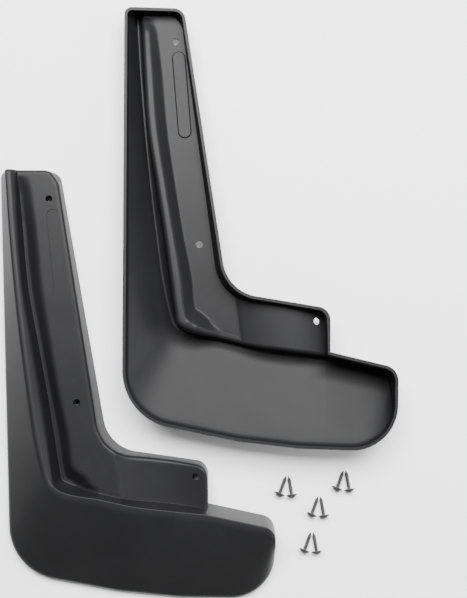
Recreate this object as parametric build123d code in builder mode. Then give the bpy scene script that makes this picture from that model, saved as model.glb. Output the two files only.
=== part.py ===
from build123d import *
from math import asin, cos, degrees, radians, tan
import os

# A pair of moulded car mud flaps with their self-tapping screws, laid out on a flat surface.
# One flap lies with its outer face up, on its rim. Its mirror image lies with its hollow back up,
# on the crest of its ridge. Sizes are in millimetres and angles in degrees.

# Flap, seen from its outer face: X across the column, Y up the column, Z out of the rim plane
flap_height = 424.4          # rim outline, foot to top of the column
foot_length = 268.5          # rim outline, outer edge to the right end of the foot
column_top_width = 58.0      # across the top of the column
elbow_x = 102.6              # inner corner between the column and the tab
elbow_y = 149.3
tab_end_x = 202.5            # free side of the tab
foot_height = 79.2           # foot at its right end
wall = 3.0                   # thickness of the moulding

# Heights over the rim plane
crest_top_height = 26.0      # crest at the top of the column
crest_hook_height = 44.0     # crest where the column turns into the foot
crest_end_height = 38.0      # crest at the right end of the foot
crest_width = 7.0
edge_height = 11.0           # outer wall below the sloping flank
plate_top_height = 17.0      # mounting plate at the top of the column
plate_elbow_height = 24.5    # mounting plate at the elbow
channel_height = 11.0        # floor of the groove between ridge and plate

# Screw holes and label field
hole_diameter = 6.8
upper_hole = (46.0, 396.0)
middle_hole = (74.2, 196.3)
tab_hole = (190.1, 123.3)
label_center = (53.5, 343.4)
label_length = 86.0
label_width = 13.0
label_lean = 6.0
label_depth = 0.6

# Hollow bend of the tab
valley_center_x = 159.0
valley_width = 84.0
valley_depth = 8.0

# Screws, 4.2 x 19 self-tapping with a washer head
screw_length = 19.0
thread_diameter = 4.2
core_diameter = 3.0
thread_pitch = 1.4
washer_diameter = 11.0
washer_thickness = 1.1
dome_diameter = 8.0
dome_height = 2.1
recess_width = 1.1
recess_span = 4.2
recess_depth = 1.4
point_length = 4.0

below = 6.0                  # how far the forms run below the rim plane before they are trimmed
seam = 0.2                   # set-back of the plate's foot from the rim outline
reach = 12.0                 # how far the ridge forms run outside the rim outline
tab_drop = 14.3              # how far the tab's top edge falls from the elbow to its free side
head_side = washer_diameter / 2 - 4.6    # sideways place of the points in a pair, clear of the heads

os.makedirs("parts", exist_ok=True)


def left_edge(y):
    """X of the straight outer edge of the column at height y."""
    return -3.9 + 7.8 * (flap_height - y) / (flap_height - 78)


hook_y = 124.5               # where the ridge turns from the column into the foot
column_length = flap_height - hook_y


def column_y(share):
    """Height at a share of the column, from the hook up to the top."""
    return hook_y + share * column_length


def crest_x(y):
    """X of the crest, which bows away from the outer edge down the column."""
    drop = (flap_height - y) / column_length
    return 8.2 + 20.7 * drop + 18.0 * drop**2


hook_x = crest_x(hook_y)
crest_rise = (crest_hook_height - crest_top_height) / column_length
crest_fall = (crest_hook_height - crest_end_height) / (foot_length - hook_x)


def crest_z(x, y):
    """The whole crest lies in one plane, so that the upturned flap rests along it."""
    return crest_hook_height - crest_rise * (y - hook_y) - crest_fall * (x - hook_x)


plate_slope = (plate_elbow_height - plate_top_height) / (flap_height - elbow_y)
plate_plane = Plane(
    origin=(0, elbow_y, plate_elbow_height),
    x_dir=(1, 0, 0),
    z_dir=(0, plate_slope, 1),
)


def rim_outline(inset):
    """Prism over the rim outline, moved inwards by inset."""
    corners = [
        (left_edge(flap_height), flap_height),
        (left_edge(flap_height) + column_top_width, flap_height),
        (elbow_x, elbow_y),
        (tab_end_x, elbow_y - tab_drop),
        (tab_end_x - 1.2, foot_height + 14.5),
        (foot_length, foot_height),
        (foot_length - 0.5, -0.5),
        (174, 0.8),
        (114, 6.8),
        (left_edge(27), 27),
    ]
    radii = [12, 12, 38, 13, 5, 15, 44, 150, 150, 55]
    with BuildPart(mode=Mode.PRIVATE) as prism:
        with BuildSketch(Plane.XY.offset(-below)):
            with BuildLine():
                FilletPolyline(*corners, radius=radii, close=True)
            make_face()
            if inset:
                offset(amount=-inset)
        extrude(amount=below + crest_hook_height + 10)
    return prism.part


def ridge_section(rim, crest, draft, inset):
    """Section across flank, crest and inner wall, in the upright plane from rim to crest."""
    run = (crest[0] - rim[0], crest[1] - rim[1])
    width = (run[0] ** 2 + run[1] ** 2) ** 0.5
    height = crest_z(*crest)
    plane = Plane(origin=(rim[0], rim[1], 0), x_dir=(run[0], run[1], 0), z_dir=(run[1], -run[0], 0))
    inner_run = tan(radians(draft)) * (height + below)
    bulge = 0.55 * edge_height + 0.45 * height + 0.06 * width
    with BuildSketch(plane) as section:
        with BuildLine():
            Polyline(
                (-reach, -below),
                (-reach, edge_height - 9),
                (1.5, edge_height),
                (width * 0.42, bulge),
                (width - crest_width / 2, height),
                (width + crest_width / 2, height),
                (width + crest_width / 2 + inner_run, -below),
                close=True,
            )
        make_face()
        if inset:
            offset(amount=-inset, kind=Kind.INTERSECTION)
    return section.sketch


def ridge(inset):
    """Column ridge and foot: one loft from the top of the column round to the end of the foot."""
    stations = []
    for y in (flap_height + 10, column_y(0.77), column_y(0.445), column_y(0.125)):
        stations.append(((left_edge(y), y), (crest_x(y), y), 13))
    stations.append(((3.5, 92), (hook_x + 1, 119), 5))
    stations.append(((18, 43), (54, 113.5), 5))
    stations.append(((48, 19.5), (64, 108), 5))
    stations.append(((90, 10), (91, 103), 5))
    stations.append(((128, 5.5), (128, 95), 4))
    stations.append(((195, 0.5), (195, 89.5), 4))
    stations.append(((foot_length + 10, -1), (foot_length + 10, 80), 4))
    with BuildPart(mode=Mode.PRIVATE) as body:
        for rim, crest, draft in stations:
            add(ridge_section(rim, crest, draft, inset))
        loft(ruled=True)
    return body.part


def plate_block(inset):
    """Mounting plate and tab: a loft from the rim up to the tilted plate, hollowed by the tab's bend."""
    top_right = left_edge(flap_height) + column_top_width
    # Each row: corner on the plate, the same corner below the rim, corner radius
    corners = [
        ((29.4, flap_height - 3), (9, flap_height), 6),
        ((top_right - 1.5, flap_height - 3), (top_right, flap_height), 12),
        ((elbow_x - 7.6, elbow_y - 1.1), (elbow_x, elbow_y), 40),
        ((tab_end_x - 1, elbow_y - tab_drop - 1.5), (tab_end_x, elbow_y - tab_drop), 13),
        ((tab_end_x - 2, 82), (tab_end_x - 1.2, 82), 4),
        ((92, 94), (88, 90), 4),
        ((87, 112), (66, 94), 6),
        ((80, 124), (58, 102), 5),
        ((69.5, 131.5), (50, 112), 6),
        ((58.2, column_y(0.248)), (33, column_y(0.238)), 20),
        ((39.5, column_y(0.605)), (17, column_y(0.595)), 20),
    ]
    radii = [radius for upper, lower, radius in corners]
    with BuildPart(mode=Mode.PRIVATE) as block:
        with BuildSketch(Plane.XY.offset(-below + 1)):
            with BuildLine():
                FilletPolyline(*[lower for upper, lower, radius in corners], radius=radii, close=True)
            make_face()
            offset(amount=-inset - seam)
        with BuildSketch(Plane.XY.offset(plate_elbow_height + 12)):
            with BuildLine():
                FilletPolyline(*[upper for upper, lower, radius in corners], radius=radii, close=True)
            make_face()
            if inset:
                offset(amount=-inset)
        loft(ruled=True)
        split(bisect_by=plate_plane.offset(-inset), keep=Keep.BOTTOM)
        with Locations(valley_axis):
            Cylinder(valley_radius + inset, 300, mode=Mode.SUBTRACT)
    return block.part


valley_radius = (valley_width**2 / 4 + valley_depth**2) / (2 * valley_depth)
valley_plane = Plane(
    origin=plate_plane.from_local_coords((valley_center_x, -30, valley_radius - valley_depth)),
    x_dir=(1, 0, 0),
    z_dir=plate_plane.y_dir.rotate(Axis.Z, 9),
)
valley_axis = valley_plane.location


def channel_floor(inset):
    """Low floor of the groove between the ridge and the plate."""
    with BuildPart(mode=Mode.PRIVATE) as floor:
        with BuildSketch(Plane.XY.offset(-below)):
            with BuildLine():
                Polyline(
                    (crest_x(flap_height) + 1, flap_height + 10),
                    (crest_x(column_y(0.605)), column_y(0.605)),
                    (crest_x(column_y(0.248)), column_y(0.248)),
                    (hook_x, hook_y),
                    (60, 104),
                    (88, 98),
                    (88, 112),
                    (72, 133),
                    (61, column_y(0.248)),
                    (42, column_y(0.605)),
                    (32, flap_height + 10),
                    close=True,
                )
            make_face()
        extrude(amount=below + channel_height - inset)
    return floor.part


def flap_form(inset):
    """Solid form of the flap, its walls moved inwards by inset."""
    with BuildPart(mode=Mode.PRIVATE) as edge_form:
        add(ridge(inset))
        add(rim_outline(inset), mode=Mode.INTERSECT)
    with BuildPart(mode=Mode.PRIVATE) as groove_form:
        add(channel_floor(inset))
        add(rim_outline(inset), mode=Mode.INTERSECT)
    with BuildPart(mode=Mode.PRIVATE) as form:
        add(edge_form.part)
        add(plate_block(inset))
        add(groove_form.part)
    return form.part


def plate_location(point, turn=0):
    """Location square to the plate at a point given in plan."""
    height = plate_elbow_height - plate_slope * (point[1] - elbow_y)
    lean = Plane(origin=(point[0], point[1], height), x_dir=(1, 0, 0), z_dir=plate_plane.z_dir)
    return lean.location * Location((0, 0, 0), (0, 0, turn))


def tab_location(point):
    """Location square to the tab's hollow bend at a point given in plan."""
    across = asin((point[0] - valley_center_x) / valley_radius)
    height = plate_location(point).position.Z - valley_depth + valley_radius * (1 - cos(across))
    return Location((point[0], point[1], height), (0, -degrees(across), 0))


hole_locations = [plate_location(upper_hole), plate_location(middle_hole), tab_location(tab_hole)]


def build_flap():
    """One flap, outer face up on its rim: shell, label field and screw holes."""
    outer = flap_form(0)
    inner = flap_form(wall)
    field = plate_location(label_center, label_lean)
    with BuildPart(mode=Mode.PRIVATE) as flap:
        add(outer)
        add(inner, mode=Mode.SUBTRACT)
        split(bisect_by=Plane.XY, keep=Keep.TOP)
        with BuildSketch(Plane(field).offset(-wall - label_depth)):
            SlotOverall(label_length, label_width, rotation=90)
        extrude(amount=wall)
        with BuildSketch(Plane(field).offset(-label_depth)):
            SlotOverall(label_length, label_width, rotation=90)
        extrude(amount=wall, mode=Mode.SUBTRACT)
        with Locations(*hole_locations):
            Cylinder(hole_diameter / 2, 6 * wall, mode=Mode.SUBTRACT)
    return flap.part


def build_screw():
    """Self-tapping screw, head on the origin and point along +Z."""
    core = core_diameter / 2
    crest = thread_diameter / 2
    turns = int((screw_length - point_length) / thread_pitch)
    profile = [(core, 0)]
    for turn in range(turns):
        start = 0.9 + turn * thread_pitch
        profile += [(core, start), (crest, start + 0.45), (core, start + 0.9)]
    with BuildPart(mode=Mode.PRIVATE) as screw:
        with BuildSketch(Plane.XZ):
            with BuildLine():
                Polyline(
                    *profile,
                    (core, screw_length - point_length),
                    (0, screw_length),
                    (0, -washer_thickness - dome_height),
                )
                Spline(
                    (0, -washer_thickness - dome_height),
                    (dome_diameter / 2, -washer_thickness),
                    tangents=[(1, 0), (0.35, 1)],
                )
                Polyline(
                    (dome_diameter / 2, -washer_thickness),
                    (washer_diameter / 2 - 0.3, -washer_thickness),
                    (washer_diameter / 2, -washer_thickness + 0.3),
                    (washer_diameter / 2, 0),
                    (core, 0),
                )
            make_face()
        revolve(axis=Axis.Z)
        with Locations((0, 0, -washer_thickness - dome_height)):
            Box(recess_span, recess_width, 2 * recess_depth, mode=Mode.SUBTRACT)
            Box(recess_width, recess_span, 2 * recess_depth, mode=Mode.SUBTRACT)
    return screw.part


# Layout. Distances are taken from the middle of the working surface that the set lies on.
face_up_place = (-227.5, -297.5, 0)      # origin of the face-up flap
upturned_shift = (117.6, 154.6)          # from the hook of one flap to the hook of the other
upturned_turn = -1.25
pair_places = [(54.0, -176.5), (111.2, -171.0), (85.9, -196.9), (78.8, -232.6)]
pair_leans = [(-head_side, -23), (head_side, 9)]    # sideways place of the point, and lean of the shank

flap = build_flap()
left_flap = Pos(*face_up_place) * flap

upturned_plane = Plane(
    origin=(hook_x, hook_y, -crest_hook_height),
    x_dir=(1, 0, crest_fall),
    z_dir=(-crest_fall, -crest_rise, 1),
)
right_flap = upturned_plane.to_local_coords(mirror(flap, about=Plane.XY))
hook_place = Location(
    (
        face_up_place[0] + hook_x + upturned_shift[0],
        face_up_place[1] + hook_y + upturned_shift[1],
        0,
    ),
    (0, 0, upturned_turn),
)
settled = Pos(0, 0, -(hook_place * right_flap).bounding_box().min.Z) * hook_place
right_flap = settled * right_flap

# A screw lies on the edge of its washer head and on its point
screw = build_screw()
screw_slope = degrees(asin(washer_diameter / 2 / screw_length))
pieces = [("left_flap", left_flap), ("right_flap", right_flap)]
for pair_place in pair_places:
    for side, lean in pair_leans:
        attitude = Location((0, 0, 0), (0, 0, lean)) * Location((0, 0, 0), (-90 - screw_slope, 0, 0))
        lying = attitude * screw
        tip = (attitude * Pos(0, 0, screw_length)).position
        place = Pos(pair_place[0] + side - tip.X, pair_place[1] - tip.Y, -lying.bounding_box().min.Z)
        pieces.append((f"screw_{len(pieces) - 1}", place * lying))

# The origin is the middle of the set, on the surface
box = Compound(children=[Compound(piece.wrapped) for name, piece in pieces]).bounding_box()
middle = Pos(-box.center().X, -box.center().Y, -box.min.Z)
for name, piece in pieces:
    placed = middle * piece
    placed.label = name
    export_step(placed, f"parts/{name}.step")
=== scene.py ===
import math

import bpy
import numpy as np
from mathutils import Euler, Matrix, Vector


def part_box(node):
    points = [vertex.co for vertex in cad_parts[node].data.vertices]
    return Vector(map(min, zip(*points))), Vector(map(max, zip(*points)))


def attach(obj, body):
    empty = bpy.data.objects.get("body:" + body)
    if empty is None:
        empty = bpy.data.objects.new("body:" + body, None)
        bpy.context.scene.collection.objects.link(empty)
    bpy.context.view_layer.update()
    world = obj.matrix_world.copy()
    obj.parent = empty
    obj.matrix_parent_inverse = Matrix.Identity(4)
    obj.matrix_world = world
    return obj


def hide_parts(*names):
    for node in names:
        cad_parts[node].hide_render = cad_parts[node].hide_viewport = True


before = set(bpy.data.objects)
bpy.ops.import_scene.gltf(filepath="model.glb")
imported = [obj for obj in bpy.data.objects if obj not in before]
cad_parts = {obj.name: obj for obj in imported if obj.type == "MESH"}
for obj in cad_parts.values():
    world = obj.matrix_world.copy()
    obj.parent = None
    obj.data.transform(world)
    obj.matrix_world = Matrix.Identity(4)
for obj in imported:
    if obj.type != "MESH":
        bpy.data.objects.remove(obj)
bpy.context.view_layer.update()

bl_info = {
    "name": "Mud Flap Set",
    "blender": (4, 5, 0),
    "version": (1, 0, 0),
    "location": "3D View > Sidebar > Mud Flaps",
    "description": "Models a mirrored pair of moulded mud flaps with their self-tapping screws",
    "category": "Add Mesh",
}

MM = 0.001


# ---------------------------------------------------------------- settings


class FlapSettings(bpy.types.PropertyGroup):
    """Sizes and finish of one moulded flap."""

    height: bpy.props.FloatProperty(
        name="Height", description="Rim outline from foot to top of the column",
        default=0.4244, unit="LENGTH")
    foot_length: bpy.props.FloatProperty(
        name="Foot length", description="Rim outline from the outer edge to the end of the foot",
        default=0.2685, unit="LENGTH")
    column_width: bpy.props.FloatProperty(
        name="Column width", description="Width of the column at its top",
        default=0.058, unit="LENGTH")
    wall: bpy.props.FloatProperty(
        name="Wall", description="Thickness of the moulding", default=0.003, unit="LENGTH")
    crest_top: bpy.props.FloatProperty(
        name="Crest at top", description="Height of the ridge at the top of the column",
        default=0.026, unit="LENGTH")
    crest_hook: bpy.props.FloatProperty(
        name="Crest at hook", description="Height of the ridge where it turns into the foot",
        default=0.044, unit="LENGTH")
    crest_end: bpy.props.FloatProperty(
        name="Crest at end", description="Height of the ridge at the end of the foot",
        default=0.038, unit="LENGTH")
    edge: bpy.props.FloatProperty(
        name="Edge", description="Height of the outer wall under the flank",
        default=0.0105, unit="LENGTH")
    plate_top: bpy.props.FloatProperty(
        name="Plate at top", description="Height of the screw plate at the top of the column",
        default=0.017, unit="LENGTH")
    plate_elbow: bpy.props.FloatProperty(
        name="Plate at elbow", description="Height of the screw plate at the elbow",
        default=0.0245, unit="LENGTH")
    valley_depth: bpy.props.FloatProperty(
        name="Tab hollow", description="Depth of the hollow bend across the tab",
        default=0.008, unit="LENGTH")
    hole: bpy.props.FloatProperty(
        name="Screw hole", description="Diameter of the screw holes",
        default=0.0068, unit="LENGTH")
    label_length: bpy.props.FloatProperty(
        name="Field length", description="Length of the blank label field",
        default=0.086, unit="LENGTH")
    label_width: bpy.props.FloatProperty(
        name="Field width", description="Width of the blank label field",
        default=0.013, unit="LENGTH")
    colour: bpy.props.FloatVectorProperty(
        name="Colour", description="Colour of the moulded plastic",
        subtype="COLOR", size=3, default=(0.008, 0.008, 0.0085))
    roughness: bpy.props.FloatProperty(
        name="Roughness", description="Roughness of the moulded surface", default=0.42)


class ScrewSettings(bpy.types.PropertyGroup):
    """Sizes and finish of the self-tapping screws."""

    length: bpy.props.FloatProperty(
        name="Length", description="Length under the head", default=0.019, unit="LENGTH")
    thread: bpy.props.FloatProperty(
        name="Thread", description="Outer diameter of the thread", default=0.0042, unit="LENGTH")
    core: bpy.props.FloatProperty(
        name="Core", description="Diameter of the shank under the thread",
        default=0.003, unit="LENGTH")
    pitch: bpy.props.FloatProperty(
        name="Pitch", description="Rise of one turn of the thread", default=0.0014, unit="LENGTH")
    washer: bpy.props.FloatProperty(
        name="Washer", description="Diameter of the washer face", default=0.011, unit="LENGTH")
    colour: bpy.props.FloatVectorProperty(
        name="Colour", description="Colour of the phosphated steel",
        subtype="COLOR", size=3, default=(0.016, 0.016, 0.017))


class StageSettings(bpy.types.PropertyGroup):
    """Floor, lights and camera."""

    camera_height: bpy.props.FloatProperty(
        name="Camera height", description="Height of the camera over the floor",
        default=1.0, unit="LENGTH")
    lens: bpy.props.FloatProperty(
        name="Lens", description="Focal length in millimetres", default=60.2)
    floor: bpy.props.FloatVectorProperty(
        name="Floor", description="Colour of the floor",
        subtype="COLOR", size=3, default=(0.9, 0.9, 0.9))


# ---------------------------------------------------------------- shader helpers


class Wire:
    """A value in a shader: the operators on it add Math nodes."""

    def __init__(self, finish, socket):
        self.finish = finish
        self.socket = socket

    def _joined(self, operation, first, second):
        return self.finish.value("ShaderNodeMath", {"operation": operation}, {0: first, 1: second})

    def __add__(self, other):
        return self._joined("ADD", self, other)

    def __radd__(self, other):
        return self._joined("ADD", other, self)

    def __sub__(self, other):
        return self._joined("SUBTRACT", self, other)

    def __rsub__(self, other):
        return self._joined("SUBTRACT", other, self)

    def __mul__(self, other):
        return self._joined("MULTIPLY", self, other)

    def __rmul__(self, other):
        return self._joined("MULTIPLY", other, self)


class Finish:
    """A material whose nodes hang on one Principled shader."""

    def __init__(self, name):
        self.material = bpy.data.materials.new(name)
        self.material.use_nodes = True
        self.tree = self.material.node_tree
        self.shader = self.tree.nodes["Principled BSDF"]

    def node(self, kind, settings, inputs):
        """Adds a node: its settings first, then the values and links of its sockets."""
        node = self.tree.nodes.new(kind)
        for name, setting in settings.items():
            if name == "stops":
                for element, (place, tone) in zip(node.color_ramp.elements, setting):
                    element.position = place
                    element.color = (tone, tone, tone, 1.0)
            else:
                setattr(node, name, setting)
        for name, value in inputs.items():
            self.put(node.inputs[name], value)
        return node

    def put(self, socket, value):
        """Links the value to the socket, or sets it."""
        if isinstance(value, Wire):
            self.tree.links.new(value.socket, socket)
        elif isinstance(value, bpy.types.NodeSocket):
            self.tree.links.new(value, socket)
        else:
            socket.default_value = value

    def value(self, kind, settings, inputs, output=0):
        """Adds a node and gives one of its outputs."""
        return Wire(self, self.node(kind, settings, inputs).outputs[output])

    def place(self):
        """Place on the piece, in metres."""
        return self.node("ShaderNodeTexCoord", {}, {}).outputs["Object"]

    def noise(self, scale, detail, roughness=0.5):
        inputs = {"Vector": self.place(), "Scale": scale, "Detail": detail, "Roughness": roughness}
        return self.value("ShaderNodeTexNoise", {}, inputs)

    def ramp(self, factor, low, high):
        """Factor below low gives 0, above high gives 1."""
        return self.value("ShaderNodeValToRGB", {"stops": ((low, 0.0), (high, 1.0))}, {"Fac": factor})

    def tint(self, factor, first, second):
        inputs = {0: factor, 6: (*first, 1.0), 7: (*second, 1.0)}
        return self.value("ShaderNodeMix", {"data_type": "RGBA"}, inputs, output=2)

    def bump(self, height, distance, strength, below=None):
        inputs = {"Height": height, "Distance": distance, "Strength": strength}
        if below:
            inputs["Normal"] = below
        return self.value("ShaderNodeBump", {}, inputs)


def moulded_plastic(settings):
    """Black polyethylene: fine spark grain, faint flow marks and a few dull rubbed patches."""
    finish = Finish("moulded_plastic")
    grain = finish.noise(1500.0, 3.0, 0.6)
    flow = finish.noise(16.0, 2.0)
    rub = finish.ramp(finish.noise(70.0, 6.0, 0.7), 0.58, 0.8)
    base = tuple(settings.colour)
    pale = tuple(1.7 * tone for tone in base)
    finish.put(finish.shader.inputs["Base Color"], finish.tint(flow * 0.7 + rub * 0.3, base, pale))
    rough = flow * 0.08 + rub * 0.07 + grain * 0.06 + (settings.roughness - 0.09)
    finish.put(finish.shader.inputs["Roughness"], rough)
    waves = finish.bump(flow, 0.0012, 0.35)
    finish.put(finish.shader.inputs["Normal"], finish.bump(grain, 0.00005, 0.3, waves))
    finish.shader.inputs["IOR"].default_value = 1.5
    finish.shader.inputs["Specular IOR Level"].default_value = 0.115
    return finish.material


def phosphated_steel(settings):
    """Dark grey phosphate coat with paler crystals and worn, smoother spots."""
    finish = Finish("phosphated_steel")
    crystal = finish.noise(2600.0, 4.0, 0.7)
    worn = finish.ramp(finish.noise(420.0, 3.0), 0.52, 0.72)
    base = tuple(settings.colour)
    bare = tuple(5.0 * tone for tone in base)
    finish.put(finish.shader.inputs["Base Color"], finish.tint(worn * 0.6 + crystal * 0.2, base, bare))
    finish.put(finish.shader.inputs["Metallic"], 0.15 + worn * 0.5)
    finish.put(finish.shader.inputs["Roughness"], 0.52 - worn * 0.2 + crystal * 0.08)
    finish.put(finish.shader.inputs["Normal"], finish.bump(crystal, 0.00004, 0.5))
    return finish.material


def material_of(name):
    """The finish, made the first time it is asked for."""
    if name in bpy.data.materials:
        return bpy.data.materials[name]
    if name == "moulded_plastic":
        return moulded_plastic(bpy.context.scene.flap_settings)
    return phosphated_steel(bpy.context.scene.screw_settings)


# ---------------------------------------------------------------- modelling helpers


def deselect():
    """Object mode, with nothing selected."""
    if bpy.context.object and bpy.context.object.mode != "OBJECT":
        bpy.ops.object.mode_set(mode="OBJECT")
    bpy.ops.object.select_all(action="DESELECT")


def take(piece):
    """The piece alone is selected and active."""
    deselect()
    piece.select_set(True)
    bpy.context.view_layer.objects.active = piece
    return piece


def named(name):
    """The new piece and its mesh take the name."""
    piece = bpy.context.object
    piece.name = name
    piece.data.name = name
    return piece


def settle(piece):
    """Puts the piece's place, turn and size into its mesh."""
    take(piece)
    bpy.ops.object.transform_apply(location=True, rotation=True, scale=True)
    return piece


def finish_modifier(piece, kind, **options):
    """Adds one modifier and applies it."""
    take(piece)
    modifier = piece.modifiers.new(kind.lower(), kind)
    for name, value in options.items():
        setattr(modifier, name, value)
    bpy.ops.object.modifier_apply(modifier=modifier.name)


def cut(piece, tool, operation="DIFFERENCE"):
    """Boolean with a tool piece that isn't kept."""
    finish_modifier(piece, "BOOLEAN", object=tool, operation=operation, solver="EXACT")
    bpy.data.objects.remove(tool)


def clean(piece, gap):
    """Merges doubles and turns the faces outwards."""
    take(piece)
    bpy.ops.object.mode_set(mode="EDIT")
    bpy.ops.mesh.select_all(action="SELECT")
    bpy.ops.mesh.remove_doubles(threshold=gap)
    bpy.ops.mesh.dissolve_degenerate(threshold=gap)
    bpy.ops.mesh.normals_make_consistent(inside=False)
    bpy.ops.object.mode_set(mode="OBJECT")


def smooth(piece, degrees):
    """Smooth shading, with sharp edges past the angle."""
    take(piece)
    bpy.ops.object.shade_smooth_by_angle(angle=math.radians(degrees))


def places_of(piece):
    """Places of the mesh's vertices, one row each."""
    places = np.zeros(len(piece.data.vertices) * 3)
    piece.data.vertices.foreach_get("co", places)
    return places.reshape(-1, 3)


def span(piece):
    """Lowest and highest corner of a piece's mesh."""
    places = places_of(piece)
    return Vector(places.min(0)), Vector(places.max(0))


def seat(piece, node):
    """Fits the mesh into the node's box, in its middle and on the same level."""
    low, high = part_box(node)
    own_low, own_high = span(piece)
    fit = [min(1, (high[axis] - low[axis]) / (own_high[axis] - own_low[axis])) for axis in range(3)]
    piece.data.transform(Matrix.Diagonal((*fit, 1)))
    own_low, own_high = span(piece)
    move = (low + high - own_low - own_high) / 2
    move.z = low.z - own_low.z
    piece.data.transform(Matrix.Translation(move))


def hand_over(piece, node, material):
    """The piece stands for its CAD node."""
    piece.data.materials.clear()
    piece.data.materials.append(material)
    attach(piece, "root")
    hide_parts(node)


# ---------------------------------------------------------------- flap form
# Millimetres, seen from the outer face: X across the column, Y up the column, Z out of the rim.
# A station is one line across the flap. It is named by how far it lies along the ridge: it runs
# down the column, round the hook, and along the foot to its free end.

HOOK_START = 262.4           # station where the column ends
TAB_LEVEL = 362.0            # station past which the groove has run out into the plate
FINE_END = 385.0             # station where the closely spaced lines end
FINE_STEP = 1.2
ROW_STEP = 2.4
FOOT_START = 391.0           # station where the lines stand square across the foot
FOOT_START_X = 128.0
HOOK_Y = 124.5               # where the crest turns from the column into the foot
HOOK_X = 46.9
ELBOW_X = 102.6              # inner corner between the column and the tab
ELBOW_Y = 149.3
TAB_END = 202.5
LEFT_AT_TOP = -3.9           # X of the straight outer edge at the top of the column
LEFT_RUN = 7.8               # how far it runs in down to LEFT_FOOT_Y
LEFT_FOOT_Y = 78.0
CREST_AT_TOP = 8.2           # X of the crest at the top, then its slant and its curve
CREST_SLANT = 0.069
CREST_CURVE = 0.0002
TOP_CORNER = 12.0            # radii of the rim outline
TAB_CORNER = 13.0
END_CORNER = 44.0
WALL_LEAN = 0.07             # run of the ridge's inner wall for one of height
EDGE_RUN = 0.9               # how far the outer wall leans in up to the flank
CREST_NEAR = 3.2             # level band of the crest on the side of the flank
FOOT_CREST = 4.6             # crest to the foot's top wall, right of the tab
CREST_GAP = 0.6              # least run left between the band's end and the shoulder
LEAST_BAND = 0.3
CREST_FALL = 0.8             # slope from the crest to the top of the ridge's inner wall
FLANK_SWELL = 0.012 / 0.2436     # swell of the flank for one of width; its middle has a quarter of it
VALLEY_X = 159.0             # middle of the hollow bend across the tab
VALLEY_Y = 119.3
VALLEY_WIDTH = 84.0
VALLEY_LEAN = math.radians(9)
VALLEY_BLEND = 3.2           # height over which the plate passes into the hollow
FOLD_DROP = 0.45             # half the step at the fold between plate and tab
FOLD_RUN = 0.9
ROUNDING = 3.6               # soft edge round the plate and the top of the column
END_ROUNDING = 8.0           # soft edge at the free end of the foot
ARC_STEPS = 24
FOOT_SHARES = (0.25, 0.5, 0.75, 1.0)     # corners on the foot's top wall, from the groove to the rim
FOLD_LEAD = 1.0              # how far inside the hollow the fold lies


def through(keys, values, at):
    """Smooth curve through key values."""
    keys = np.asarray(keys, float)
    values = np.asarray(values, float)
    slopes = np.gradient(values, keys, axis=0)
    first = np.clip(np.searchsorted(keys, at, side="right") - 1, 0, len(keys) - 2)
    length = keys[first + 1] - keys[first]
    t = np.clip((at - keys[first]) / length, 0, 1)
    if values.ndim > 1:
        t = t[:, None]
        length = length[:, None]
    start = (2 * t**3 - 3 * t**2 + 1) * values[first] + (t**3 - 2 * t**2 + t) * length * slopes[first]
    end = (3 * t**2 - 2 * t**3) * values[first + 1] + (t**3 - t**2) * length * slopes[first + 1]
    return start + end


def arc_outline(corners, radii):
    """Closed outline with rounded corners: ARC_STEPS + 1 points for each corner."""
    points = []
    for index, (corner, radius) in enumerate(zip(corners, radii)):
        corner = Vector(corner)
        back = (Vector(corners[index - 1]) - corner).normalized()
        ahead = (Vector(corners[(index + 1) % len(corners)]) - corner).normalized()
        half = back.angle(ahead) / 2
        middle = corner + (back + ahead).normalized() * radius / math.sin(half)
        start = corner + back * radius / math.tan(half) - middle
        end = corner + ahead * radius / math.tan(half) - middle
        turn = start.angle_signed(end)
        for step in range(ARC_STEPS + 1):
            points.append(middle + Matrix.Rotation(-turn * step / ARC_STEPS, 2) @ start)
    return np.array(points)


def run_of(line):
    """Length along a line of plan points, from its start to each point."""
    steps = np.linalg.norm(np.diff(line, axis=0), axis=1)
    return np.concatenate([[0], np.cumsum(steps)])


def point_at(line, run, place):
    """Plan point at a length along a line."""
    return np.stack([np.interp(place, run, line[:, axis]) for axis in range(2)], 1)


def spaced(line):
    """The same line with a point every half millimetre."""
    run = run_of(line)
    return point_at(line, run, np.linspace(0, run[-1], int(2 * run[-1])))


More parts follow.
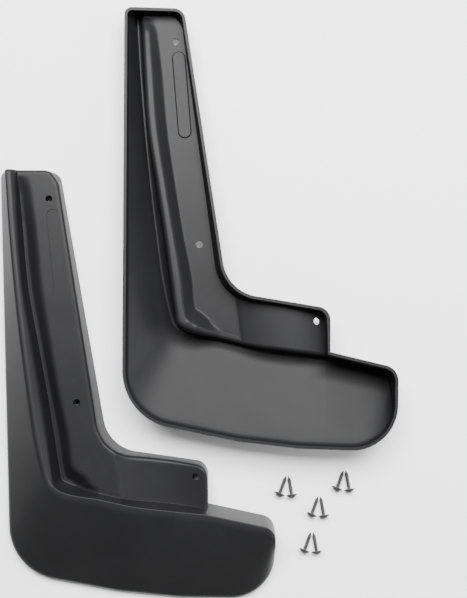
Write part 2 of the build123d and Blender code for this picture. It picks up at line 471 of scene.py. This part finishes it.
class FlapForm:
    """Sections of the flap's outer surface."""

    def __init__(self, settings):
        self.height = settings.height / MM
        self.length = settings.foot_length / MM
        self.settings = settings
        left = self.left_edge
        corners = [
            (left(self.height), self.height),
            (left(self.height) + settings.column_width / MM, self.height),
            (ELBOW_X, ELBOW_Y),
            (TAB_END, 135.0),
            (TAB_END - 1.2, 93.7),
            (self.length, 79.2),
            (self.length, -0.5),
            (174, 0.8),
            (114, 6.8),
            (left(27), 27),
        ]
        radii = [7.5, TOP_CORNER, 38, TAB_CORNER, 1, 15, END_CORNER, 150, 150, 55]
        outline = arc_outline(corners, radii)
        size = ARC_STEPS + 1
        self.tab_station = FOOT_START + TAB_END - FOOT_START_X
        self.end_station = FOOT_START + self.length - FOOT_START_X
        self.outer = spaced(np.concatenate([outline[:size][::-1], outline[6 * size:][::-1]]))
        self.inner = spaced(outline[size:4 * size])
        self.foot_top = np.concatenate([[(TAB_END, 93.45)], outline[5 * size:6 * size]])
        self.outer_run = run_of(self.outer)
        self.inner_run = run_of(self.inner)

    def left_edge(self, y):
        """X of the straight outer edge of the column at height y."""
        return LEFT_AT_TOP + LEFT_RUN * (self.height - y) / (self.height - LEFT_FOOT_Y)

    def crest_x(self, drop):
        """X of the crest at a distance below the top of the column."""
        return CREST_AT_TOP + CREST_SLANT * drop + CREST_CURVE * drop**2

    def crest_falls(self):
        """Falls of the crest's plane from the hook, along the foot and up the column."""
        settings = self.settings
        along_foot = (settings.crest_hook - settings.crest_end) / MM / (self.length - HOOK_X)
        up_column = (settings.crest_hook - settings.crest_top) / MM / (self.height - HOOK_Y)
        return along_foot, up_column

    def crest_height(self, place):
        """The crest lies in one plane, so that an upturned flap rests all along it."""
        along_foot, up_column = self.crest_falls()
        hook = self.settings.crest_hook / MM
        return hook - up_column * (place[..., 1] - HOOK_Y) - along_foot * (place[..., 0] - HOOK_X)

    def plate_height(self, place):
        """Tilted screw plate, with the hollow bend of the tab and its soft free edge."""
        x, y = place[..., 0], place[..., 1]
        top, elbow = self.settings.plate_top / MM, self.settings.plate_elbow / MM
        flat = elbow - (elbow - top) / (self.height - ELBOW_Y) * (y - ELBOW_Y)
        depth = self.settings.valley_depth / MM
        radius = (VALLEY_WIDTH**2 / 4 + depth**2) / (2 * depth)
        across = (x - VALLEY_X + math.tan(VALLEY_LEAN) * (y - VALLEY_Y)) * math.cos(VALLEY_LEAN)
        hollow = radius - depth - np.sqrt(np.maximum(radius**2 - across**2, 0))
        share = np.clip(0.5 + hollow / VALLEY_BLEND, 0, 1)
        bend = hollow * (1 - share) - VALLEY_BLEND / 2 * share * (1 - share)
        fold = FOLD_DROP * (1 + np.tanh((across + VALLEY_WIDTH / 2 - FOLD_LEAD) / FOLD_RUN))
        return flat + bend - fold - soft_drop(TAB_END - x, ROUNDING)

    def key_lines(self):
        """Crest, groove, floor edge and plate edge at the key stations."""
        rows = []
        for station, groove, floor, plate in COLUMN_KEYS:
            y = self.height - station
            rows.append((station, (self.crest_x(station), y), (groove, y), (floor, y), (plate, y)))
        rows += HOOK_KEYS
        stations = [row[0] for row in rows]
        return stations, [np.array([row[item] for row in rows]) for item in range(1, 5)]

    def rims(self, station):
        """Plan points on the outer and the inner side of the rim."""
        x = FOOT_START_X + station - FOOT_START
        y = self.height - station
        left = (self.outer[:, 0] < 100) & (self.outer[:, 1] > 60)
        fan = [row[0] for row in RIM_KEYS]
        near = [self.outer_run[np.argmin(np.linalg.norm(self.outer - row[1], axis=1))] for row in RIM_KEYS]
        down = np.interp(-y, -self.outer[left][:, 1], self.outer_run[left])
        bottom = self.outer[:, 0] > 100
        along = np.interp(x, self.outer[bottom][:, 0], self.outer_run[bottom])
        outer = np.where(station < fan[0], down, along)
        middle = (station >= fan[0]) & (station <= fan[-1])
        outer = np.where(middle, through(fan, near, station), outer)
        column = self.inner[:, 1] > 160
        drop = np.interp(-y, -self.inner[column][:, 1], self.inner_run[column])
        tab = self.inner[:, 0] > 125
        reach = np.interp(x, self.inner[tab][:, 0], self.inner_run[tab])
        elbow = (station - HOOK_START) / (FOOT_START - HOOK_START)
        start = np.interp(-(self.height - HOOK_START), -self.inner[column][:, 1], self.inner_run[column])
        end = np.interp(FOOT_START_X, self.inner[tab][:, 0], self.inner_run[tab])
        inner = np.where(elbow < 0, drop, np.where(elbow > 1, reach, start + elbow * (end - start)))
        return point_at(self.outer, self.outer_run, outer), point_at(self.inner, self.inner_run, inner)

    def corners(self, station, foot_only):
        """Corner points of the sections at the stations, rim to rim."""
        outer, inner = self.rims(station)
        keys, lines = self.key_lines()
        crest, groove, floor, plate = (through(keys, line, station) for line in lines)
        on_tab = station > TAB_LEVEL
        tab_level = self.plate_height(groove)
        deep = np.where(on_tab, tab_level, np.minimum(between(GROOVE_KEYS, station), tab_level))
        if foot_only:
            x = FOOT_START_X + station - FOOT_START
            inner = np.stack([x, np.interp(x, self.foot_top[:, 0], self.foot_top[:, 1])], 1)
            deep = np.full(len(x), deep[0])
            groove = inner - np.array([0, WALL_LEAN * deep[0]])
            crest = groove - np.array([0, FOOT_CREST])
        height = self.crest_height(crest)
        across = unit(crest - outer)
        ahead = unit(groove - crest)
        edge = self.settings.edge / MM
        foot = outer + across * EDGE_RUN
        near_crest = crest - across * CREST_NEAR
        shoulder = groove - ahead * (WALL_LEAN * (height - deep))[:, None]
        room = np.linalg.norm(shoulder - crest, axis=1) - CREST_GAP
        band = np.clip(room, LEAST_BAND, between(BAND_KEYS, station))
        far_crest = crest + ahead * band[:, None]
        round_off = height - CREST_FALL * np.linalg.norm(shoulder - far_crest, axis=1)
        points = [at(outer, 0), at(foot, edge)]
        swell = FLANK_SWELL * np.linalg.norm(crest - outer, axis=1)
        for step in range(1, FLANK_STEPS):
            t = step / FLANK_STEPS
            level = edge + (height - edge) * t + swell * (t - t**2)
            points.append(at(foot + (near_crest - foot) * t, level))
        points += [at(near_crest, height), at(far_crest, height), at(shoulder, round_off), at(groove, deep)]
        if foot_only:
            for share in FOOT_SHARES:
                points.append(at(groove + (inner - groove) * share, deep * (1 - share)))
        else:
            brow = inner + unit(plate - inner) * between(LEAN_KEYS, station)[:, None]
            points.append(at(floor, np.where(on_tab, self.plate_height(floor), deep)))
            points.append(at(plate, self.plate_height(plate)))
            points.append(at(brow, self.plate_height(brow)))
            points.append(at(inner, 0))
        return np.stack(points, 1)

    def sheet(self):
        """Rows of points over the whole outer surface, and two rows that close its ends."""
        ends = 1 - np.sin(np.linspace(math.pi / 2, 0, 14))
        column = np.concatenate([TOP_CORNER * ends, np.arange(TOP_CORNER + 2.2, HOOK_START, ROW_STEP)])
        tab_start = self.tab_station - TAB_CORNER
        hook = np.arange(HOOK_START, FINE_END, FINE_STEP)
        tab = np.concatenate([np.arange(FINE_END + 0.4, tab_start - 1, ROW_STEP),
                              self.tab_station - TAB_CORNER * ends[::-1]])
        foot_start = self.end_station - END_CORNER
        free = 1 - np.sin(np.linspace(0, math.pi / 2, 30))
        foot = np.concatenate([self.tab_station + np.array([0, 0.5, 1.2]),
                               np.arange(self.tab_station + ROW_STEP, foot_start - 1, ROW_STEP),
                               self.end_station - END_CORNER * free])
        column_rows = self.corners(np.concatenate([column, hook, tab]), False)
        foot_rows = self.level_foot(self.corners(foot, True), column_rows[-1, CORNER_OF_GROOVE, 2])
        rows = np.concatenate([self.follow_plate(rounded(column_rows)), rounded(foot_rows)])
        stations = np.concatenate([column, hook, tab, foot])
        top = rows[:, :, 2].max(1)
        scale = 1 - soft_drop(stations, ROUNDING) / top
        scale *= 1 - soft_drop(self.end_station - stations, END_ROUNDING) / top
        rows[:, :, 2] *= scale[:, None]
        caps = rows[[0, -1]].copy()
        caps[:, :, 2] = 0
        return np.concatenate([caps[:1], rows, caps[1:]])

    def follow_plate(self, rows):
        """Between its two edges the plate takes its true height, and the edges fade into it."""
        curves = np.count_nonzero(EDGE_TURNS[1:CORNER_OF_PLATE + 1])
        first = sum(STRAIGHTS[:CORNER_OF_PLATE]) + CURVE_STEPS * curves
        last = first + STRAIGHTS[CORNER_OF_PLATE]
        places = rows[:, first:last + 1]
        lift = self.plate_height(places) - places[..., 2]
        fade = np.arange(1, CURVE_STEPS) / CURVE_STEPS
        rows[:, first:last + 1, 2] += lift
        rows[:, first - CURVE_STEPS + 1:first, 2] += lift[:, :1] * fade
        rows[:, last + 1:last + CURVE_STEPS, 2] += lift[:, -1:] * fade[::-1]
        return rows

    def level_foot(self, rows, level):
        """The foot's top wall is split at the height where the tab meets it."""
        groove = rows[:, CORNER_OF_GROOVE]
        inner = rows[:, -1]
        change = level - groove[:, 2]
        groove[:, 2] += change
        groove[:, 1] -= WALL_LEAN * change
        for index, share in enumerate(FOOT_SHARES, CORNER_OF_GROOVE + 1):
            rows[:, index] = groove + (inner - groove) * share
        return rows


# station, then X of the groove's foot, of its floor's edge and of the plate's edge
COLUMN_KEYS = [
    (0, 14.5, 17.0, 24.5),
    (60, 19.0, 23.0, 32.3),
    (118, 24.6, 29.0, 38.8),
    (170, 34.0, 38.1, 47.4),
    (225, 44.0, 48.3, 57.7),
    (262, 50.0, 55.3, 66.0),
]
# station, then crest, groove's foot, floor's edge and plate's edge
HOOK_KEYS = [
    (296, (48.5, 128), (55.5, 128.5), (60, 129.5), (69, 137)),
    (308, (51.5, 120), (57.3, 119.8), (62.4, 122.3), (71, 132)),
    (320, (58.5, 113), (62, 116), (65.5, 119.5), (77, 128)),
    (335, (69, 108.2), (71.5, 112.6), (73, 115.4), (84, 122)),
    (346, (79, 106.3), (81.5, 110.2), (82, 112.5), (87.5, 117)),
    (358, (91, 103.8), (92.5, 108.4), (93, 110), (95, 113.5)),
    (391, (128, 95.6), (128, 100.9), (128, 101.9), (128, 105)),
    (430, (167, 91.2), (167, 96.3), (167, 97.3), (167, 100.4)),
    (465.5, (202.5, 87.5), (202.5, 92.2), (202.5, 93.2), (202.5, 96)),
]
# station, then a plan point near the rim
RIM_KEYS = [
    (240, (0.1, 184.4)), (262, (0.6, 162.4)), (296, (1.6, 118)), (308, (2.6, 90)), (320, (10, 52)),
    (335, (36, 25)), (346, (62, 16)), (358, (85, 11.5)), (391, (128, 5.4)), (430, (167, 1.5)),
]
# station, then the height of the groove's floor
GROOVE_KEYS = [(0, 19.0), (20, 13.0), (50, 11.0), (262, 11.0), (320, 11.5), (336, 13.0), (348, 20.0),
               (362, 26.0)]
# station, then how far the outer wall of the plate leans out on its way down
LEAN_KEYS = [(0, 3.5), (5, 5.0), (14, 1.2), (100, 2.5), (200, 4.0), (262, 5.2), (391, 2.6), (430, 1.6),
             (470, 1.4)]
# station, then the width of the crest's level band on the side of the groove
BAND_KEYS = [(300, 1.2), (345, 4.2), (391, 4.2), (465, 2.6)]
FLANK_STEPS = 7
CORNER_OF_GROOVE = FLANK_STEPS + 4
CORNER_OF_PLATE = CORNER_OF_GROOVE + 2
CURVE_STEPS = 6
MOST_TURN = 0.47             # share of a straight that one rounding may take up
# rounding at each corner of a section, then the steps along each straight between two corners
EDGE_TURNS = [0, 5.0] + [0] * (FLANK_STEPS - 1) + [3.4, 3.0, 5.0, 1.2, 1.2, 3.2, ROUNDING, 0]
STRAIGHTS = [3, 2] + [2] * (FLANK_STEPS - 1) + [2, 2, 7, 2, 4, 14, 5]


def between(keys, station):
    """Straight lines through a table of stations and values."""
    stations, values = zip(*keys)
    return np.interp(station, stations, values)


def unit(vector):
    """Each vector at length one."""
    return vector / np.maximum(np.linalg.norm(vector, axis=1, keepdims=True), 1e-6)


def at(place, height):
    """Plan points at their height."""
    return np.concatenate([place, np.broadcast_to(height, len(place))[:, None]], 1)


def soft_drop(distance, radius):
    """How far a rounded edge lies below its face, at a distance from the free side."""
    inside = np.clip(radius - distance, 0, radius)
    return radius - np.sqrt(radius**2 - inside**2)


def rounded(sections):
    """Rounds the corners of all sections alike and samples them with the same number of points."""
    steps = np.diff(sections, axis=1)
    lengths = np.linalg.norm(steps, axis=2)
    ways = steps / np.maximum(lengths, 1e-6)[..., None]
    samples = []
    leave = sections[:, 0]
    samples.append(leave)
    for index in range(1, sections.shape[1]):
        corner = sections[:, index]
        turn = EDGE_TURNS[index]
        if turn:
            room = MOST_TURN * np.minimum(lengths[:, index - 1], lengths[:, index])
            turn = np.minimum(turn, room)[:, None]
            arrive = corner - ways[:, index - 1] * turn
            depart = corner + ways[:, index] * turn
        else:
            arrive = corner
            depart = corner
        count = STRAIGHTS[index - 1]
        for step in range(1, count + 1):
            samples.append(leave + (arrive - leave) * step / count)
        if EDGE_TURNS[index]:
            for step in range(1, CURVE_STEPS + 1):
                t = step / CURVE_STEPS
                samples.append((1 - t)**2 * arrive + 2 * t * (1 - t) * corner + t**2 * depart)
        leave = depart
    return np.stack(samples, 1)


def build_sheet(settings, name):
    """The flap's outer surface: a grid whose rows are laid on the sections, then closed to a wall."""
    rows = FlapForm(settings).sheet()
    lines, across = rows.shape[:2]
    deselect()
    bpy.ops.mesh.primitive_grid_add(x_subdivisions=across - 1, y_subdivisions=lines - 1)
    piece = named(name)
    piece.data.vertices.foreach_set("co", (rows.reshape(-1, 3) * MM).ravel())
    clean(piece, 0.00003)
    finish_modifier(piece, "SOLIDIFY", thickness=settings.wall, offset=-1.0,
                    use_even_offset=False, use_quality_normals=True)
    places = places_of(piece)
    places[:, 2] = np.maximum(places[:, 2], 0)
    inside = places[len(places) // 2:]
    for axis, end in ((0, settings.foot_length), (1, settings.height)):
        inside[:, axis] = np.minimum(inside[:, axis], end - BACK_SHARE * settings.wall)
    piece.data.vertices.foreach_set("co", places.ravel())
    piece.data.update()
    return piece


LABEL_PLACE = (53.5, 343.4)
LABEL_TURN = 6.0
LABEL_DEPTH = 0.0009         # depths and margins are in metres, places in millimetres
FIELD_MARGIN = -0.0004
FIELD_CLEARANCE = 0.002      # how far the field's tool stands over the plate
PAD_HEIGHT = 0.0013
PAD_TAPER = 0.0014
PAD_MARGIN = 0.0006
PAD_OVERLAP = 0.0004         # how far the pad reaches into the wall
BACK_SHARE = 0.95            # least wall at the two straight ends, as a share of the whole
HOLE_PLACES = [(46.0, 396.0), (74.2, 196.3), (190.1, 123.3)]
UPTURNED_TURN = math.radians(-1.25)
SMOOTH_LIMIT = 32            # degrees between faces up to which an edge is shaded smooth


def plate_frame(form, place, turn=0.0):
    """Matrix that stands square on the plate or tab at a plan place, in metres."""
    reach = 0.5
    x, y = place
    spots = np.array([(x, y), (x + reach, y), (x - reach, y), (x, y + reach), (x, y - reach)], float)
    height = form.plate_height(spots)
    normal = Vector(((height[2] - height[1]) / (2 * reach), (height[4] - height[3]) / (2 * reach), 1))
    square = Vector((0, 0, 1)).rotation_difference(normal.normalized()).to_matrix().to_4x4()
    move = Matrix.Translation(Vector((x, y, height[0])) * MM)
    return move @ square @ Matrix.Rotation(math.radians(turn), 4, "Z")


def slot_tool(settings, margin, low, high, taper=0.0):
    """Long block with round ends for the label field, between two levels and narrower below."""
    deselect()
    radius = settings.label_width / 2 + margin
    straight = settings.label_length - settings.label_width
    bpy.ops.mesh.primitive_cone_add(vertices=64, radius1=radius - taper, radius2=radius, depth=high - low,
                                    location=(0, 0, (low + high) / 2))
    tool = settle(named("field_tool"))
    for vertex in tool.data.vertices:
        vertex.co.y += math.copysign(straight / 2, vertex.co.y)
    return tool


def build_flap(settings, name):
    """One whole flap, outer face up: walls, label field with its raised back, and screw holes."""
    piece = build_sheet(settings, name)
    form = FlapForm(settings)
    field = plate_frame(form, LABEL_PLACE, LABEL_TURN)
    inside = -settings.wall
    back = slot_tool(settings, PAD_MARGIN, inside - PAD_HEIGHT, inside + PAD_OVERLAP, PAD_TAPER)
    back.data.transform(field)
    cut(piece, back, "UNION")
    front = slot_tool(settings, FIELD_MARGIN, -LABEL_DEPTH, FIELD_CLEARANCE)
    front.data.transform(field)
    cut(piece, front)
    for place in HOLE_PLACES:
        deselect()
        bpy.ops.mesh.primitive_cylinder_add(vertices=48, radius=settings.hole / 2, depth=6 * settings.wall)
        tool = named("hole_tool")
        tool.data.transform(plate_frame(form, place))
        cut(piece, tool)
    smooth(piece, SMOOTH_LIMIT)
    return piece


class SCENE_OT_face_up_flap(bpy.types.Operator):
    """Flap that lies on its rim, outer face up"""

    bl_idname = "mudflap.face_up_flap"
    bl_label = "Face-up flap"

    def execute(self, context):
        piece = build_flap(context.scene.flap_settings, "face_up_flap")
        seat(piece, "left_flap")
        hand_over(piece, "left_flap", material_of("moulded_plastic"))
        return {"FINISHED"}


class SCENE_OT_upturned_flap(bpy.types.Operator):
    """Mirror image of the flap, hollow back up, lying on the crest of its ridge"""

    bl_idname = "mudflap.upturned_flap"
    bl_label = "Upturned flap"

    def execute(self, context):
        settings = context.scene.flap_settings
        piece = build_flap(settings, "upturned_flap")
        along_foot, up_column = FlapForm(settings).crest_falls()
        along = Vector((1, 0, along_foot)).normalized()
        up = Vector((-along_foot, -up_column, 1)).normalized()
        level = Matrix((along, up.cross(along), up)).to_4x4()
        piece.data.transform(Matrix.Rotation(UPTURNED_TURN, 4, "Z") @ level @ Matrix.Diagonal((1, 1, -1, 1)))
        piece.data.flip_normals()
        seat(piece, "right_flap")
        hand_over(piece, "right_flap", material_of("moulded_plastic"))
        return {"FINISHED"}


# ---------------------------------------------------------------- screws

WASHER_THICKNESS = 0.0011
WASHER_BEVEL = 0.0003
DOME_DIAMETER = 0.008
DOME_HEIGHT = 0.0021
DOME_STEPS = 12
POINT_LENGTH = 0.004
THREAD_START = 0.0012        # middle of the thread's first turn, under the head
THREAD_HALF = 0.0005         # half the thread's width at its foot
THREAD_ROOT = 0.0002         # how far its foot reaches into the core
THREAD_RUN_OUT = 0.003       # length at the point that starts no more turns
LEAST_THREAD = 0.06          # share of its radius the thread keeps at the point
RECESS_SPAN = 0.0044
RECESS_WIDTH = 0.0011
RECESS_DEPTH = 0.0015
RECESS_TAPER = 0.72          # width of the recess at its floor, as a share
SCREW_SMOOTH_LIMIT = 30
SCREW_LEANS = (-23.0, 9.0)


def turned(name, rings, vertices=64):
    """Round piece: a circle drawn out ring by ring, each ring a radius and a level."""
    deselect()
    radius, level = rings[0]
    bpy.ops.mesh.primitive_circle_add(vertices=vertices, radius=radius, location=(0, 0, level),
                                      fill_type="NOTHING")
    piece = settle(named(name))
    bpy.ops.object.mode_set(mode="EDIT")
    bpy.ops.mesh.select_all(action="SELECT")
    bpy.ops.mesh.edge_face_add()
    bpy.ops.mesh.select_mode(type="EDGE")
    for (old_radius, old_level), (new_radius, new_level) in zip(rings, rings[1:]):
        bpy.ops.mesh.extrude_region_move(TRANSFORM_OT_translate={"value": (0, 0, new_level - old_level)})
        share = new_radius / old_radius
        bpy.ops.transform.resize(value=(share, share, 1), center_override=(0, 0, new_level))
    bpy.ops.object.mode_set(mode="OBJECT")
    return piece


def dome_rings(settings):
    """Rings of the head, from the washer's underside to the top of the dome."""
    rim = settings.washer / 2
    rings = [(settings.core / 2, 0.0), (rim - WASHER_BEVEL, 0.0), (rim, -WASHER_BEVEL),
             (rim, WASHER_BEVEL - WASHER_THICKNESS), (rim - WASHER_BEVEL, -WASHER_THICKNESS),
             (DOME_DIAMETER / 2 + 0.0004, -WASHER_THICKNESS - 0.00005)]
    for step in range(DOME_STEPS + 1):
        turn = math.radians(4 + 84 * step / DOME_STEPS)
        rings.append((DOME_DIAMETER / 2 * math.cos(turn), -WASHER_THICKNESS - DOME_HEIGHT * math.sin(turn)))
    return rings


def build_thread(settings):
    """Helical ridge that runs out to nothing at the point."""
    deselect()
    bpy.ops.mesh.primitive_circle_add(vertices=3, radius=THREAD_HALF, fill_type="NOTHING",
                                      rotation=(math.radians(90), 0, 0))
    thread = settle(named("thread"))
    core = settings.core / 2
    root = core - THREAD_ROOT
    corners = [(root, -THREAD_HALF), (settings.thread / 2, 0.0), (root, THREAD_HALF)]
    for vertex, (radius, level) in zip(thread.data.vertices, corners):
        vertex.co = (radius, 0, level + THREAD_START)
    turns = int((settings.length - THREAD_RUN_OUT) / settings.pitch)
    finish_modifier(thread, "SCREW", axis="Z", steps=28, render_steps=28, iterations=turns,
                    screw_offset=settings.pitch, use_normal_calculate=True)
    shoulder = settings.length - POINT_LENGTH
    for vertex in thread.data.vertices:
        share = min(1.0, max(LEAST_THREAD, (settings.length - vertex.co.z) / POINT_LENGTH))
        if vertex.co.z > shoulder:
            vertex.co.x *= share
            vertex.co.y *= share
    bpy.ops.object.mode_set(mode="EDIT")
    bpy.ops.mesh.select_all(action="DESELECT")
    bpy.ops.mesh.select_non_manifold(extend=False, use_wire=False, use_boundary=True,
                                     use_multi_face=False, use_non_contiguous=False, use_verts=False)
    bpy.ops.mesh.fill()
    bpy.ops.object.mode_set(mode="OBJECT")
    clean(thread, 0.00001)
    return thread


def build_screw(settings):
    """Self-tapping screw, head at the origin and point along Z."""
    core = settings.core / 2
    shank = turned("shank", [(core * 0.9, -0.0005), (core, 0.0002), (core, settings.length - POINT_LENGTH),
                             (core * 0.5, settings.length - 0.0018), (0.00006, settings.length)], 32)
    head = turned("head", dome_rings(settings))
    clean(head, 0.00001)
    clean(shank, 0.00001)
    top = -WASHER_THICKNESS - DOME_HEIGHT
    for size in ((RECESS_SPAN, RECESS_WIDTH), (RECESS_WIDTH, RECESS_SPAN)):
        deselect()
        bpy.ops.mesh.primitive_cube_add(size=1, location=(0, 0, top))
        tool = named("recess_tool")
        tool.scale = (*size, 2 * RECESS_DEPTH)
        settle(tool)
        for vertex in tool.data.vertices:
            if vertex.co.z > top:
                vertex.co.x *= RECESS_TAPER
                vertex.co.y *= RECESS_TAPER
        cut(head, tool)
    thread = build_thread(settings)
    take(head)
    shank.select_set(True)
    thread.select_set(True)
    bpy.ops.object.join()
    smooth(head, SCREW_SMOOTH_LIMIT)
    return head


class SCENE_OT_screws(bpy.types.Operator):
    """Self-tapping screws, each lying on the edge of its head and on its point"""

    bl_idname = "mudflap.screws"
    bl_label = "Screws"

    def execute(self, context):
        settings = context.scene.screw_settings
        pattern = build_screw(settings)
        steel = material_of("phosphated_steel")
        droop = math.radians(90) + math.asin(settings.washer / 2 / settings.length)
        nodes = sorted(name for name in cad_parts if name.startswith("screw_"))
        for index, node in enumerate(nodes):
            piece = pattern.copy()
            piece.data = pattern.data.copy()
            piece.name = "lying_" + node
            context.collection.objects.link(piece)
            lean = math.radians(SCREW_LEANS[index % 2])
            piece.data.transform(Euler((-droop, 0, lean)).to_matrix().to_4x4())
            seat(piece, node)
            hand_over(piece, node, steel)
        bpy.data.objects.remove(pattern)
        return {"FINISHED"}


# ---------------------------------------------------------------- stage


CAMERA_PLACE = (0.03637, 0.00649)
SENSOR_WIDTH = 36            # millimetres
SKY_STRENGTH = 0.22
FLOOR_SIZE = 6.0
FLOOR_LEVEL = -0.0002        # just under the set, so that no faces meet
# name, place, point it faces, size and watts
LIGHTS = [
    ("top_light", (0.1, 0.9, 1.8), (0, -0.1, 0), (1.9, 1.0), 185),
    ("key_light", (0.3, 2.0, 0.7), (0, 0, 0), (2.4, 0.6), 10),
    ("side_light", (1.9, -0.1, 0.8), (0, 0, 0), (0.9, 1.6), 30),
]


def soft_box(name, place, aim, size, power):
    """Large rectangular light that faces a point."""
    deselect()
    bpy.ops.object.light_add(type="AREA", location=place)
    light = bpy.context.object
    light.name = name
    light.data.shape = "RECTANGLE"
    light.data.size, light.data.size_y = size
    light.data.energy = power
    light.rotation_euler = (Vector(place) - Vector(aim)).to_track_quat("Z", "Y").to_euler()


class SCENE_OT_stage(bpy.types.Operator):
    """Pale floor, soft studio light and the camera straight over the set"""

    bl_idname = "mudflap.stage"
    bl_label = "Stage"

    def execute(self, context):
        settings = context.scene.stage_settings
        deselect()
        bpy.ops.mesh.primitive_plane_add(size=FLOOR_SIZE, location=(0, 0, FLOOR_LEVEL))
        floor = settle(named("floor"))
        paper = Finish("pale_paper")
        paper.put(paper.shader.inputs["Base Color"], (*settings.floor, 1.0))
        paper.shader.inputs["Roughness"].default_value = 0.9
        paper.shader.inputs["Specular IOR Level"].default_value = 0.2
        floor.data.materials.append(paper.material)
        world = bpy.data.worlds.new("studio")
        world.use_nodes = True
        sky = world.node_tree.nodes["Background"]
        sky.inputs["Color"].default_value = (1, 1, 1, 1)
        sky.inputs["Strength"].default_value = SKY_STRENGTH
        context.scene.world = world
        for light in LIGHTS:
            soft_box(*light)
        bpy.ops.object.camera_add(location=CAMERA_PLACE + (settings.camera_height,), rotation=(0, 0, 0))
        camera = bpy.context.object
        camera.data.lens = settings.lens
        camera.data.sensor_width = SENSOR_WIDTH
        camera.data.dof.use_dof = False
        context.scene.camera = camera
        return {"FINISHED"}


class SCENE_PT_mud_flaps(bpy.types.Panel):
    """Steps of the model, in order"""

    bl_label = "Mud flap set"
    bl_idname = "SCENE_PT_mud_flaps"
    bl_space_type = "VIEW_3D"
    bl_region_type = "UI"
    bl_category = "Mud Flaps"

    def draw(self, context):
        for step in STEPS:
            self.layout.operator(step.bl_idname)


STEPS = (SCENE_OT_face_up_flap, SCENE_OT_upturned_flap, SCENE_OT_screws, SCENE_OT_stage)
CLASSES = (FlapSettings, ScrewSettings, StageSettings, *STEPS, SCENE_PT_mud_flaps)


def register():
    for kind in CLASSES:
        bpy.utils.register_class(kind)
    bpy.types.Scene.flap_settings = bpy.props.PointerProperty(type=FlapSettings)
    bpy.types.Scene.screw_settings = bpy.props.PointerProperty(type=ScrewSettings)
    bpy.types.Scene.stage_settings = bpy.props.PointerProperty(type=StageSettings)


def unregister():
    del bpy.types.Scene.stage_settings
    del bpy.types.Scene.screw_settings
    del bpy.types.Scene.flap_settings
    for kind in reversed(CLASSES):
        bpy.utils.unregister_class(kind)


def main():
    register()
    for step in STEPS:
        group, name = step.bl_idname.split(".")
        getattr(getattr(bpy.ops, group), name)()


if __name__ == "__main__":
    main()
